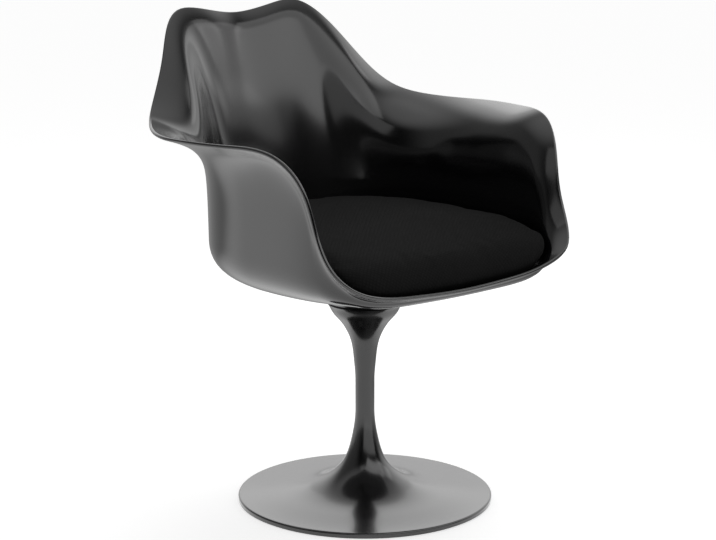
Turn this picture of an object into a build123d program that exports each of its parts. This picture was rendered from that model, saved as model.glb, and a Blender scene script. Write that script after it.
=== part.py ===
from build123d import *
import math
import os

import numpy as np

# Tulip armchair: a moulded seat shell that turns on a cast trumpet pedestal, with a lift-out cushion.
# Millimetres. The origin is on the floor under the swivel axis, the sitter faces -Y and +Z is up.

# Pedestal: foot disc, waisted stem and cupped head, one casting of revolution
FOOT_RADIUS = 216.0
FOOT_EDGE_TOP = 10.0
FOOT_LIFT = 2.0
FOOT_WALL = 6.5
FOOT_EDGE_ROUND = 3.0
FOOT_SLOPE = 0.05
FOOT_CURVE = [(150.0, 16.0), (100.0, 24.0), (60.0, 42.0), (37.0, 66.0), (23.0, 105.0)]
HOLLOW_ROOF = 40.0
HOLLOW_POINTS = 3
STEM_RADIUS = 16.2
WAIST_LOW = 157.0
WAIST_HIGH = 209.0
HEAD_TOP = 344.5
HEAD_RADIUS = 64.0
HEAD_CURVE = [(18.6, 101.5), (24.0, 66.5), (31.0, 49.5), (42.0, 32.5), (56.0, 15.5)]
HEAD_EDGE = 2.0

# Floor ring: a rubber ring pressed into a groove under the foot's edge
RING_WIDTH = 8.0
RING_MARGIN = 4.0
RING_SEAT_DEPTH = 4.0

# Swivel: a fixed post, two bushes and a thrust bearing in the head's cup
POST_RADIUS = 9.0
POST_SEAT_LENGTH = 57.0
CUP_RADIUS = 40.0
CUP_DEPTH = 25.5
RUNNING_CLEARANCE = 0.05
END_FLOAT = 0.1
BALL_RADIUS = 3.0
BALL_COUNT = 16
BALL_CIRCLE = 27.0
GROOVE_DEPTH = 0.8
RACE_THICKNESS = 3.5
RACE_HALF_WIDTH = 8.0
CAGE_THICKNESS = 2.0
CAGE_HALF_WIDTH = 5.5
POCKET_CLEARANCE = 0.15
BUSH_WALL = 3.0
BUSH_FLANGE_RADIUS = 15.0
BUSH_FLANGE = 2.0
BUSH_LENGTH = 8.0
RETAINER_RADIUS = 15.0
RETAINER_THICKNESS = 2.0
RETAINER_SCREW_RADIUS = 4.0
RETAINER_SCREW_LENGTH = 22.0
RETAINER_HEAD_ACROSS = 13.0
RETAINER_HEAD_HEIGHT = 5.0

# Seat hub: a flared ring over the swivel gap, with a plug that fills the cup
SWIVEL_GAP = 2.0
HUB_FLANGE = 8.0
HUB_FOOT_RADIUS = 66.0
HUB_TOP_RADIUS = 76.0
PLUG_CLEARANCE = 3.0
HUB_RECESS_RADIUS = 19.0
HUB_RECESS_DEPTH = 5.0
GASKET_THICKNESS = 1.5
GASKET_MARGIN = 2.0

# Seat shell: the rim runs through these stations, from the back's centre to the front lip's centre.
# Each is x, y, height above the seat plane, and lean. Lean 1 is a wall that sweeps out from the heel
# to the rim like a petal, and lean 0 one that stands upright and flares out at its top.
BACK_DIP = (0.0, 350.0, 440.0, 1.00)
BACK_CREST = (69.0, 346.0, 450.0, 1.00)
BACK_EAR = (121.0, 345.0, 455.0, 0.95)
BACK_EDGE = (198.0, 291.0, 381.0, 0.50)
ELBOW = (266.0, 231.0, 300.0, 0.08)
ARM_REAR = (303.0, 173.0, 286.0, 0.03)
ARM_WIDE = (330.0, 50.0, 287.0, 0.04)
ARM_MIDDLE = (316.0, -45.0, 290.0, 0.06)
ARM_CORNER = (289.0, -132.0, 280.0, 0.12)
ARM_NOSE = (273.0, -166.0, 247.0, 0.20)
ARM_FRONT = (260.0, -193.0, 170.0, 0.30)
LIP_RISE = (248.0, -226.0, 106.0, 0.45)
LIP_CORNER = (235.0, -237.0, 90.0, 0.55)
LIP_QUARTER = (188.0, -242.0, 67.0, 0.60)
LIP_MIDDLE = (95.0, -245.0, 55.0, 0.65)
LIP_CENTRE = (0.0, -247.0, 52.0, 0.70)
RIM_STATIONS = [
    BACK_DIP, BACK_CREST, BACK_EAR, BACK_EDGE, ELBOW, ARM_REAR, ARM_WIDE, ARM_MIDDLE,
    ARM_CORNER, ARM_NOSE, ARM_FRONT, LIP_RISE, LIP_CORNER, LIP_QUARTER, LIP_MIDDLE, LIP_CENTRE,
]
SHELL_WALL = 6.5
SHELL_SECTIONS = 44
PAN_POINTS = 5
WALL_POINTS = 8
HEEL_HALF_WIDTH = 244.0
HEEL_BACK = 249.0
HEEL_FRONT = 232.0
HEEL_SQUARENESS_BACK = 2.3
HEEL_SQUARENESS_FRONT = 6.0
HEEL_RISE = 90.0
HEEL_FADE = 85.0
HEEL_PULL = 0.75
PAN_SLOPE = 0.23
PAN_TILT = 0.13
PAN_REACH = 0.55
FLARE_POWER = 6.5
PETAL_CURVE = 0.5
LIP_TURN = 9.0
LIP_BAND = 28.0
LIP_BAND_WALL_SHARE = 0.8
STEEP_LIMIT = 0.1
RIM_STEP = 1.0
BOSS_RADIUS = 78.0
BOSS_THICKNESS = 10.0
PAN_START_RADIUS = 74.0
PAN_START_HEIGHT = 6.0
ACCESS_HOLE_RADIUS = 22.0

# Shell screws and washers, put in from inside the seat
SCREW_RADIUS = 3.0
SCREW_HOLE_RADIUS = 3.3
SCREW_CIRCLE = 46.0
SCREW_COUNT = 4
SCREW_TURN = 45.0
SCREW_HEAD_RADIUS = 6.0
SCREW_HEAD_HEIGHT = 3.5
SCREW_END_SHORT = 0.8
SOCKET_ACROSS = 4.0
SOCKET_DEPTH = 2.0
WASHER_RADIUS = 8.0
WASHER_THICKNESS = 1.2

# Cushion: foam in a zipped cover, held to the shell by hook and loop patches
PATCH_RADIUS = 16.0
PATCH_CIRCLE = 55.0
PATCH_THICKNESS = 2.5
PATCH_COUNT = 4
CUSHION_GAP = 4.5
CUSHION_FRONT = 237.0
CUSHION_SQUARENESS = 7.0
CUSHION_BASE_RADIUS = 74.0
CUSHION_EDGE_TOP = 125.0
CUSHION_FRONT_TOP = 110.0
CUSHION_EDGE_INSET = 11.0
CUSHION_FRONT_INSET = 32.0
CUSHION_GIRTH_RISE = 8.0
CUSHION_CROWN = 136.0
CUSHION_CROWN_SHARES = [0.8, 0.5, 0.2]
CUSHION_SIDE_STEPS = 3
CUSHION_PAN_SHARES = [0.45, 0.78]
CUSHION_WALL_SHARES = [0.0, 0.5, 1.0]
CUSHION_WALL_RISE = 6.0
CUSHION_WALL_TOP = 92.0
CUSHION_ARCS = 24
SHARE_STEP = 0.01
TURN_HALVINGS = 50
COVER_THICKNESS = 1.5
BASE_PANEL_RADIUS = 70.0
ZIP_LENGTH = 220.0
ZIP_WIDTH = 14.0
ZIP_RISE = 80.0
SLIDER_LENGTH = 9.0
SLIDER_WIDTH = 6.0
SLIDER_THICKNESS = 1.6

# Heights that follow from the sizes above
CUP_FLOOR = HEAD_TOP - CUP_DEPTH
BALL_HEIGHT = CUP_FLOOR + RACE_THICKNESS - GROOVE_DEPTH + BALL_RADIUS
UPPER_RACE_TOP = BALL_HEIGHT + BALL_RADIUS - GROOVE_DEPTH + RACE_THICKNESS
HUB_FOOT = HEAD_TOP + SWIVEL_GAP
HUB_TOP = HUB_FOOT + HUB_FLANGE
SEAT_PLANE = HUB_TOP + GASKET_THICKNESS
BOSS_TOP = SEAT_PLANE + BOSS_THICKNESS
RECESS_FLOOR = HUB_TOP - HUB_RECESS_DEPTH
POST_TOP = RECESS_FLOOR + BUSH_FLANGE + END_FLOAT
RETAINER_TOP = POST_TOP + RETAINER_THICKNESS
BUSH_OUTER = POST_RADIUS + RUNNING_CLEARANCE + BUSH_WALL
PATCH_JOIN = BOSS_TOP + PATCH_THICKNESS
CUSHION_BASE = PATCH_JOIN + PATCH_THICKNESS
ZIP_HEIGHT = SEAT_PLANE + ZIP_RISE


def disc(radius, low, high):
    """A round plate on the swivel axis between two heights."""
    return Pos(0, 0, low) * extrude(Circle(radius), high - low)


def tube(outer, inner, low, high):
    """A plain ring on the swivel axis between two heights."""
    return disc(outer, low, high) - disc(inner, low, high)


def around(radius, count, start_degrees):
    """Places on a circle about the swivel axis."""
    turns = [math.radians(start_degrees + 360.0 * k / count) for k in range(count)]
    return [(radius * math.cos(turn), radius * math.sin(turn)) for turn in turns]


def group(solids):
    """Separate solids kept together in one node."""
    return Compound(children=list(solids))


def spun(edges):
    """A solid of revolution from the edges of a closed half section."""
    return revolve(make_face(Wire(edges)), axis=Axis.Z)


def at(radius, height):
    """A point of a half section."""
    return Vector(radius, 0, height)


def run(points):
    """Straight edges through the points of a half section."""
    return [Line(at(*a), at(*b)).edge() for a, b in zip(points, points[1:])]


def make_pedestal():
    """Foot disc, stem and head in one casting, hollow under the foot and bored for the post."""
    up = Vector(0, 0, 1)
    inward = Vector(-1, 0, 0)
    foot_rise = Vector(-1, 0, FOOT_SLOPE)
    edge_low = FOOT_EDGE_TOP - FOOT_EDGE_ROUND
    edge_in = FOOT_RADIUS - FOOT_EDGE_ROUND
    groove_out = FOOT_RADIUS - RING_MARGIN
    groove_in = groove_out - RING_WIDTH
    groove_top = FOOT_LIFT + RING_SEAT_DEPTH
    wall_in = groove_in - RING_MARGIN
    bore_floor = CUP_FLOOR - POST_SEAT_LENGTH
    foot_points = [at(edge_in, FOOT_EDGE_TOP)] + [at(*point) for point in FOOT_CURVE]
    foot = Spline(*foot_points, at(STEM_RADIUS, WAIST_LOW), tangents=(foot_rise, up)).edge()
    head_points = [at(radius, HEAD_TOP - depth) for radius, depth in HEAD_CURVE]
    head_points.append(at(HEAD_RADIUS, HEAD_TOP - HEAD_EDGE))
    head = Spline(at(STEM_RADIUS, WAIST_HIGH), *head_points, tangents=(up, Vector(1, 0, 1))).edge()
    hollow = [at(radius, height - FOOT_WALL) for radius, height in FOOT_CURVE[:HOLLOW_POINTS]]
    roof = Spline(at(wall_in, groove_top), *hollow, at(0, HOLLOW_ROOF), tangents=(foot_rise, inward)).edge()
    corner = FOOT_EDGE_ROUND * math.sqrt(0.5)
    edge_turn = at(edge_in + corner, edge_low + corner)
    edge_round = ThreePointArc(at(FOOT_RADIUS, edge_low), edge_turn, foot_points[0]).edge()
    inside = run([
        (0, HOLLOW_ROOF), (0, bore_floor), (POST_RADIUS, bore_floor), (POST_RADIUS, CUP_FLOOR),
        (CUP_RADIUS, CUP_FLOOR), (CUP_RADIUS, HEAD_TOP), (HEAD_RADIUS - HEAD_EDGE, HEAD_TOP),
        (HEAD_RADIUS, HEAD_TOP - HEAD_EDGE),
    ])
    under = run([
        (FOOT_RADIUS, edge_low), (FOOT_RADIUS, FOOT_LIFT), (groove_out, FOOT_LIFT), (groove_out, groove_top),
        (groove_in, groove_top), (groove_in, FOOT_LIFT), (wall_in, FOOT_LIFT), (wall_in, groove_top),
    ])
    waist = Line(at(STEM_RADIUS, WAIST_LOW), at(STEM_RADIUS, WAIST_HIGH)).edge()
    return spun(inside + [head, waist, foot, edge_round] + under + [roof])


def make_floor_ring():
    """Rubber ring that the chair stands on."""
    outer = FOOT_RADIUS - RING_MARGIN
    return tube(outer, outer - RING_WIDTH, 0, FOOT_LIFT + RING_SEAT_DEPTH)


def make_post():
    """Steel post pressed into the pedestal, tapped at its top for the retaining screw."""
    post = disc(POST_RADIUS, CUP_FLOOR - POST_SEAT_LENGTH, POST_TOP)
    tap_depth = RETAINER_SCREW_LENGTH - RETAINER_THICKNESS
    return post - disc(RETAINER_SCREW_RADIUS, POST_TOP - tap_depth, POST_TOP)


def make_race(low):
    """One grooved washer of the thrust bearing."""
    ring = tube(BALL_CIRCLE + RACE_HALF_WIDTH, BALL_CIRCLE - RACE_HALF_WIDTH, low, low + RACE_THICKNESS)
    return ring - Pos(0, 0, BALL_HEIGHT) * Torus(BALL_CIRCLE, BALL_RADIUS + RUNNING_CLEARANCE)


def make_cage():
    """Flat cage with a pocket for each ball."""
    low = BALL_HEIGHT - CAGE_THICKNESS / 2
    high = BALL_HEIGHT + CAGE_THICKNESS / 2
    cage = tube(BALL_CIRCLE + CAGE_HALF_WIDTH, BALL_CIRCLE - CAGE_HALF_WIDTH, low, high)
    pocket = disc(BALL_RADIUS + POCKET_CLEARANCE, low, high)
    for x, y in around(BALL_CIRCLE, BALL_COUNT, 0):
        cage -= Pos(x, y, 0) * pocket
    return cage


def make_balls():
    """The bearing's balls, between the two grooves."""
    return group(Pos(x, y, BALL_HEIGHT) * Sphere(BALL_RADIUS) for x, y in around(BALL_CIRCLE, BALL_COUNT, 0))


def make_bush(flange_low, barrel_low):
    """A flanged bush that runs on the post."""
    body = disc(BUSH_FLANGE_RADIUS, flange_low, flange_low + BUSH_FLANGE)
    body += disc(BUSH_OUTER, barrel_low, barrel_low + BUSH_LENGTH)
    low = min(flange_low, barrel_low)
    high = max(flange_low + BUSH_FLANGE, barrel_low + BUSH_LENGTH)
    return body - disc(POST_RADIUS + RUNNING_CLEARANCE, low, high)


def make_retainer():
    """Washer on the post's end that keeps the seat from lifting off."""
    return tube(RETAINER_RADIUS, RETAINER_SCREW_RADIUS, POST_TOP, RETAINER_TOP)


def make_retaining_screw():
    """Hexagon screw in the post's end."""
    head = Pos(0, 0, RETAINER_TOP) * extrude(
        RegularPolygon(RETAINER_HEAD_ACROSS / 2, 6, major_radius=False), RETAINER_HEAD_HEIGHT)
    return head + disc(RETAINER_SCREW_RADIUS, RETAINER_TOP - RETAINER_SCREW_LENGTH, RETAINER_TOP)


def make_hub():
    """Flared hub ring with the plug that carries the bushes and rides on the bearing."""
    plug = CUP_RADIUS - PLUG_CLEARANCE
    flare = ThreePointArc(
        at(HUB_FOOT_RADIUS, HUB_FOOT),
        at(HUB_FOOT_RADIUS + (HUB_TOP_RADIUS - HUB_FOOT_RADIUS) / 3, HUB_FOOT + HUB_FLANGE / 2),
        at(HUB_TOP_RADIUS, HUB_TOP)).edge()
    section = run([(HUB_TOP_RADIUS, HUB_TOP), (0, HUB_TOP), (0, UPPER_RACE_TOP), (plug, UPPER_RACE_TOP),
                   (plug, HUB_FOOT), (HUB_FOOT_RADIUS, HUB_FOOT)])
    hub = spun(section + [flare])
    hub -= disc(BUSH_OUTER, UPPER_RACE_TOP, HUB_TOP)
    hub -= disc(HUB_RECESS_RADIUS, RECESS_FLOOR, HUB_TOP)
    for x, y in around(SCREW_CIRCLE, SCREW_COUNT, SCREW_TURN):
        hub -= Pos(x, y, 0) * disc(SCREW_RADIUS, HUB_FOOT, HUB_TOP)
    return hub


def make_gasket():
    """Rubber gasket between the hub and the shell."""
    gasket = tube(HUB_TOP_RADIUS - GASKET_MARGIN, ACCESS_HOLE_RADIUS, HUB_TOP, SEAT_PLANE)
    for x, y in around(SCREW_CIRCLE, SCREW_COUNT, SCREW_TURN):
        gasket -= Pos(x, y, 0) * disc(SCREW_HOLE_RADIUS, HUB_TOP, SEAT_PLANE)
    return gasket


class ClosedCurve:
    """A smooth closed curve through stations, by cubic pieces over the distance along the chords."""

    def __init__(self, stations):
        self.points = np.array(stations)
        following = np.roll(self.points, -1, axis=0)
        self.spans = np.linalg.norm((following - self.points)[:, :3], axis=1)
        self.starts = np.concatenate([[0.0], np.cumsum(self.spans)])
        self.bends = self.solve_bends(following)

    def solve_bends(self, following):
        """Second derivatives that make the pieces meet without a kink."""
        count = len(self.points)
        before = np.roll(self.spans, 1)
        slopes = (following - self.points) / self.spans[:, None]
        matrix = np.zeros((count, count))
        for k in range(count):
            matrix[k, k - 1] += before[k]
            matrix[k, k] += 2 * (before[k] + self.spans[k])
            matrix[k, (k + 1) % count] += self.spans[k]
        return np.linalg.solve(matrix, 6 * (slopes - np.roll(slopes, 1, axis=0)))

    def at(self, distance):
        """The curve's values at a distance from the first station."""
        count = len(self.points)
        distance = distance % self.starts[-1]
        k = min(int(np.searchsorted(self.starts, distance, side="right")) - 1, count - 1)
        far = (k + 1) % count
        span = self.spans[k]
        b = (distance - self.starts[k]) / span
        a = 1 - b
        bend = ((a**3 - a) * self.bends[k] + (b**3 - b) * self.bends[far]) * span**2 / 6
        return a * self.points[k] + b * self.points[far] + bend


def rim_loop():
    """The whole rim as a closed curve, and the distance from its back centre to its front centre."""
    mirrored = [(-x, y, height, lean) for x, y, height, lean in RIM_STATIONS[-2:0:-1]]
    curve = ClosedCurve(RIM_STATIONS + mirrored)
    return curve, curve.starts[len(RIM_STATIONS) - 1]


RIM, RIM_HALF = rim_loop()


def squared_oval(turn, front, front_squareness):
    """Plan radius at an angle from the back. The back half is the heel's, and the front is given."""
    back = math.cos(turn) > 0
    power = HEEL_SQUARENESS_BACK if back else front_squareness
    depth = HEEL_BACK if back else front
    total = abs(math.sin(turn) / HEEL_HALF_WIDTH)**power + abs(math.cos(turn) / depth)**power
    return total**(-1 / power)


class Meridian:
    """The shell's middle line from the boss to one point of the rim, in an upright plane through the axis."""

    def __init__(self, distance):
        x, y, rim_height, self.lean = RIM.at(distance)
        step = RIM.at(distance + RIM_STEP)[:3] - RIM.at(distance - RIM_STEP)[:3]
        steepness = abs(step[2]) / np.linalg.norm(step)
        self.turn = math.atan2(x, y)
        self.rim_radius = math.hypot(x, y)
        self.heel_radius = squared_oval(self.turn, HEEL_FRONT, HEEL_SQUARENESS_FRONT)
        self.tall = 1 - math.exp(-(rim_height - PAN_START_HEIGHT) / HEEL_FADE)
        self.heel_height = PAN_START_HEIGHT + HEEL_RISE * self.tall
        self.wall_height = rim_height - self.heel_height
        band = LIP_BAND / math.sqrt(max(1 - steepness**2, STEEP_LIMIT))
        self.band = min(band, LIP_BAND_WALL_SHARE * self.wall_height)
        self.reach = self.rim_radius - LIP_TURN - self.heel_radius

    def pan(self, share):
        """Radius and height on the pan, from the boss at 0 to the heel at 1."""
        length = self.heel_radius - PAN_START_RADIUS
        rise = np.array([self.reach * self.lean, self.wall_height])
        rise = rise / np.linalg.norm(rise)
        start = np.array([PAN_START_RADIUS, PAN_START_HEIGHT])
        slope = PAN_SLOPE - PAN_TILT * math.cos(self.turn)
        low = start + PAN_REACH * length * np.array([1.0, slope])
        heel = np.array([self.heel_radius, self.heel_height])
        high = heel - rise * HEEL_PULL * self.tall * (self.heel_height - PAN_START_HEIGHT)
        rest = 1 - share
        return rest**3 * start + 3 * share * rest**2 * low + 3 * share**2 * rest * high + share**3 * heel

    def wall(self, share):
        """Radius and height on the wall, from the heel at 0 to the rim at 1."""
        petal = (1 - PETAL_CURVE) * share + PETAL_CURVE * share**2
        spread = self.lean * petal + (1 - self.lean) * share**FLARE_POWER
        lip = max(0.0, 1 - self.wall_height * (1 - share) / self.band)**2
        radius = self.heel_radius + self.reach * spread + LIP_TURN * lip
        return np.array([radius, self.heel_height + self.wall_height * share])

    def place(self, flat):
        """The point in space of a radius and height above the seat plane."""
        radius, height = flat
        return np.array([radius * math.sin(self.turn), radius * math.cos(self.turn), SEAT_PLANE + height])

    def line(self):
        """Points in space from the boss to the rim."""
        pan = [self.pan(k / PAN_POINTS) for k in range(PAN_POINTS)]
        wall = [self.wall(math.sin(math.pi / 2 * k / WALL_POINTS)) for k in range(WALL_POINTS + 1)]
        return np.array([self.place(flat) for flat in pan + wall])


def shell_sections():
    """Closed section wires of the shell's right half, from the back's centre to the front's."""
    step = RIM_HALF / SHELL_SECTIONS
    grid = np.array([Meridian(step * k).line() for k in range(-1, SHELL_SECTIONS + 2)])
    along = grid[2:] - grid[:-2]
    middle = grid[1:-1]
    up = np.gradient(middle, axis=1)
    normal = np.cross(along, up)
    normal /= np.linalg.norm(normal, axis=2, keepdims=True)
    inner = middle + normal * SHELL_WALL / 2
    outer = middle - normal * SHELL_WALL / 2
    end = up[:, -1] / np.linalg.norm(up[:, -1], axis=1, keepdims=True)
    tip = middle[:, -1] + end * SHELL_WALL / 2
    for points in (inner, outer):
        points[[0, -1], :, 0] = 0.0
    tip[[0, -1], 0] = 0.0
    knots = [float(k) for k in range(middle.shape[1])]
    wires = []
    for k in range(SHELL_SECTIONS + 1):
        inside = Edge.make_spline([Vector(*p) for p in inner[k]], parameters=knots)
        outside = Edge.make_spline([Vector(*p) for p in outer[k]], parameters=knots)
        rim = ThreePointArc(Vector(*outer[k, -1]), Vector(*tip[k]), Vector(*inner[k, -1])).edge()
        hub_end = Line(Vector(*inner[k, 0]), Vector(*outer[k, 0])).edge()
        wires.append(Wire([outside, rim, inside, hub_end]))
    return wires


def make_shell():
    """Moulded seat shell: back, arms and seat pan in one skin, with a flat boss over the hub."""
    right = Solid.make_loft(shell_sections(), ruled=True)
    shell = right + mirror(right, about=Plane.YZ)
    shell += disc(BOSS_RADIUS, SEAT_PLANE, BOSS_TOP)
    shell -= disc(ACCESS_HOLE_RADIUS, SEAT_PLANE, BOSS_TOP)
    for x, y in around(SCREW_CIRCLE, SCREW_COUNT, SCREW_TURN):
        shell -= Pos(x, y, 0) * disc(SCREW_HOLE_RADIUS, SEAT_PLANE, BOSS_TOP)
    return shell


def make_shell_screws():
    """Socket screws from the seat's inside into the hub."""
    low = HUB_FOOT + SCREW_END_SHORT
    seat = BOSS_TOP + WASHER_THICKNESS
    top = seat + SCREW_HEAD_HEIGHT
    screw = disc(SCREW_RADIUS, low, seat) + disc(SCREW_HEAD_RADIUS, seat, top)
    socket = RegularPolygon(SOCKET_ACROSS / 2, 6, major_radius=False)
    screw -= Pos(0, 0, top - SOCKET_DEPTH) * extrude(socket, SOCKET_DEPTH)
    return group(Pos(x, y, 0) * screw for x, y in around(SCREW_CIRCLE, SCREW_COUNT, SCREW_TURN))


def make_shell_washers():
    """Washers under the shell screws' heads."""
    washer = tube(WASHER_RADIUS, SCREW_HOLE_RADIUS, BOSS_TOP, BOSS_TOP + WASHER_THICKNESS)
    return group(Pos(x, y, 0) * washer for x, y in around(SCREW_CIRCLE, SCREW_COUNT, SCREW_TURN))


def make_patches(low):
    """Round hook or loop patches, one layer."""
    patch = disc(PATCH_RADIUS, low, low + PATCH_THICKNESS)
    return group(Pos(x, y, 0) * patch for x, y in around(PATCH_CIRCLE, PATCH_COUNT, 0))


def meridian_at(turn):
    """The shell's meridian at an angle from the back."""
    low = 0.0
    high = RIM_HALF
    for _ in range(TURN_HALVINGS):
        middle = (low + high) / 2
        x, y = RIM.at(middle)[:2]
        if math.atan2(x, y) < turn:
            low = middle
        else:
            high = middle
    return Meridian(low)


def wall_share(meridian):
    """How far up the wall the cushion's underside goes, which is furthest at the front corners."""
    reach = squared_oval(meridian.turn, CUSHION_FRONT, CUSHION_SQUARENESS)
    least = CUSHION_WALL_RISE / meridian.wall_height
    most = (CUSHION_WALL_TOP - meridian.heel_height) / meridian.wall_height
    low = 0.0
    high = 1.0
    for _ in range(TURN_HALVINGS):
        middle = (low + high) / 2
        if meridian.wall(middle)[0] < reach:
            low = middle
        else:
            high = middle
    return max(least, min(low, most))


def clear_of_shell(line, share, off):
    """A radius and height at a distance inside the shell's middle line."""
    here = line(share)
    ahead = line(share + SHARE_STEP) - here
    return here + np.array([-ahead[1], ahead[0]]) / np.linalg.norm(ahead) * off


def cushion_profile(meridian, inset):
    """Radius and height of the cushion's rings on one meridian, from its base to its crown."""
    front = (1 - meridian.tall) / math.exp(-(LIP_CENTRE[2] - PAN_START_HEIGHT) / HEEL_FADE)
    off = SHELL_WALL / 2 + CUSHION_GAP + inset
    top_share = wall_share(meridian)
    flat = [np.array([CUSHION_BASE_RADIUS - inset, CUSHION_BASE - SEAT_PLANE + inset])]
    flat += [clear_of_shell(meridian.pan, share, off) for share in CUSHION_PAN_SHARES]
    flat += [clear_of_shell(meridian.wall, share * top_share, off) for share in CUSHION_WALL_SHARES]
    girth = flat[-1][0]
    girth_height = flat[-1][1] + CUSHION_GIRTH_RISE
    draw_in = CUSHION_EDGE_INSET + (CUSHION_FRONT_INSET - CUSHION_EDGE_INSET) * front
    edge_top = CUSHION_EDGE_TOP + (CUSHION_FRONT_TOP - CUSHION_EDGE_TOP) * front - inset
    for step in range(CUSHION_SIDE_STEPS + 1):
        roll = math.pi / 2 * step / CUSHION_SIDE_STEPS
        radius = girth - draw_in * (1 - math.cos(roll))
        flat.append(np.array([radius, girth_height + (edge_top - girth_height) * math.sin(roll)]))
    for share in CUSHION_CROWN_SHARES:
        climb = (1 - share**2) / (1 - CUSHION_CROWN_SHARES[-1]**2)
        height = edge_top + (CUSHION_CROWN - inset - edge_top) * climb
        flat.append(np.array([(girth - draw_in) * share, height]))
    return [meridian.place(point) for point in flat]


def cushion_body(inset):
    """Crowned cushion that fills the pan, drawn in by an inset on all sides."""
    half = [meridian_at(math.pi * k / CUSHION_ARCS) for k in range(CUSHION_ARCS + 1)]
    right = np.array([cushion_profile(meridian, inset) for meridian in half])
    right[[0, -1], :, 0] = 0.0
    left = right[-2:0:-1] * np.array([-1.0, 1.0, 1.0])
    loop = np.concatenate([right, left, right[:1]])
    wires = []
    for ring in range(loop.shape[1]):
        points = [Vector(*p) for p in loop[:, ring]]
        arcs = [ThreePointArc(*points[2 * k:2 * k + 3]).edge() for k in range(CUSHION_ARCS)]
        wires.append(Wire(arcs))
    return Solid.make_loft(wires, ruled=True)


def zip_space():
    """The window in the cover's rear side that the zip closes."""
    return Pos(0, HEEL_BACK, ZIP_HEIGHT) * Box(ZIP_LENGTH, HEEL_BACK, ZIP_WIDTH)


def make_cover_parts():
    """Cover, rear zip, base panel and foam, cut from the same cushion form."""
    foam = cushion_body(COVER_THICKNESS)
    skin = cushion_body(0.0) - foam
    zip_tape = skin & zip_space()
    panel = disc(BASE_PANEL_RADIUS, CUSHION_BASE, CUSHION_BASE + COVER_THICKNESS)
    cover = skin - zip_space() - panel
    return {"cushion_cover": cover, "cover_zip": zip_tape, "cover_base": panel, "cushion_foam": foam}


def make_slider(zip_tape):
    """Zip slider on the outside of the tape, near its end."""
    side = ZIP_LENGTH / 2 - SLIDER_LENGTH
    back = zip_tape.bounding_box().max.Y
    window = Pos(side, back, ZIP_HEIGHT) * Box(SLIDER_LENGTH, back, SLIDER_WIDTH)
    outer = Pos(0, SLIDER_THICKNESS, 0) * (zip_tape & window)
    return outer - zip_tape


def make_parts():
    """Every node of the chair by name."""
    upper_race = UPPER_RACE_TOP - RACE_THICKNESS
    parts = {
        "pedestal": make_pedestal(),
        "floor_ring": make_floor_ring(),
        "swivel_post": make_post(),
        "bearing_lower_race": make_race(CUP_FLOOR),
        "bearing_cage": make_cage(),
        "bearing_balls": make_balls(),
        "bearing_upper_race": make_race(upper_race),
        "lower_bush": make_bush(UPPER_RACE_TOP - BUSH_FLANGE, UPPER_RACE_TOP),
        "upper_bush": make_bush(RECESS_FLOOR, RECESS_FLOOR - BUSH_LENGTH),
        "retaining_washer": make_retainer(),
        "retaining_screw": make_retaining_screw(),
        "seat_hub": make_hub(),
        "hub_gasket": make_gasket(),
        "seat_shell": make_shell(),
        "shell_screws": make_shell_screws(),
        "shell_washers": make_shell_washers(),
        "hook_patches": make_patches(BOSS_TOP),
        "loop_patches": make_patches(PATCH_JOIN),
    }
    parts.update(make_cover_parts())
    parts["zip_slider"] = make_slider(parts["cover_zip"])
    return parts


os.makedirs("parts", exist_ok=True)
for name, solid in make_parts().items():
    export_step(solid, f"parts/{name}.step")
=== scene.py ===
import logging
import math
from contextlib import contextmanager
from dataclasses import dataclass, field, replace
from enum import Enum
from typing import Any, Callable, Iterator

import bpy
import numpy as np
from bpy.types import Material, Node, NodeSocket, NodeTree, Object, World
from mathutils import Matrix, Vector
from mathutils.bvhtree import BVHTree


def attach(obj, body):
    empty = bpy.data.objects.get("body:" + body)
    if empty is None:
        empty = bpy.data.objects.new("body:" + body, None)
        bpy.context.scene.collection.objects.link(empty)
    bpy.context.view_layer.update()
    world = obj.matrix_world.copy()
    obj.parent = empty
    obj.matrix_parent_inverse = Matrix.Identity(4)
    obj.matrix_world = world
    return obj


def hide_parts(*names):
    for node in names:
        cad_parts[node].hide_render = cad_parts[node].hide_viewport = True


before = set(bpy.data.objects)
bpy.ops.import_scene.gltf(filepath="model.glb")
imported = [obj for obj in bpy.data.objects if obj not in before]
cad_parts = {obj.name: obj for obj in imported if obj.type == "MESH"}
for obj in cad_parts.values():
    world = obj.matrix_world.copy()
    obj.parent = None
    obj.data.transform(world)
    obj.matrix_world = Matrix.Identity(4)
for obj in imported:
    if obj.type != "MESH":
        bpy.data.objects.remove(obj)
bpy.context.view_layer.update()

# Tulip armchair: a moulded gloss shell on a coated trumpet pedestal, with a loose fabric cushion.
# Sizes are in millimetres and become metres where a mesh gets its points.

LOG = logging.getLogger("tulip_armchair")
MM = 0.001
Array = np.ndarray
Pair = tuple[float, float]
Triple = tuple[float, float, float]
WHITE = "#ffffff"
MERGE_DISTANCE = 0.00001
# Smallest lengths to divide by, in millimetres.
LEAST_LENGTH = 1e-6
LEAST_RADIUS = 1e-3
# Steps for slopes: millimetres along the rim, and a share of a line of the shell.
RIM_STEP = 1.0
SHARE_STEP = 0.01
HALVINGS = 40
SHEEN_ROUGHNESS = 0.4
# Broad clouds in a surface are about 110 mm across, and the thick places in a yarn 14 mm long.
CLOUDS_PER_METRE = 9.0
SLUBS_PER_METRE = 70.0
# A wave texture turns 20 radians in each unit. Pitches in a metre over 20 so draw threads and lathe
# rings 2 pi times as coarse as they are, which is what they need to show in the render.
WAVE_RADIANS = 20.0
# The setting of a Map Range node that eases in and out.
SOFT_STEP = {"interpolation_type": "SMOOTHSTEP"}


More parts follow.
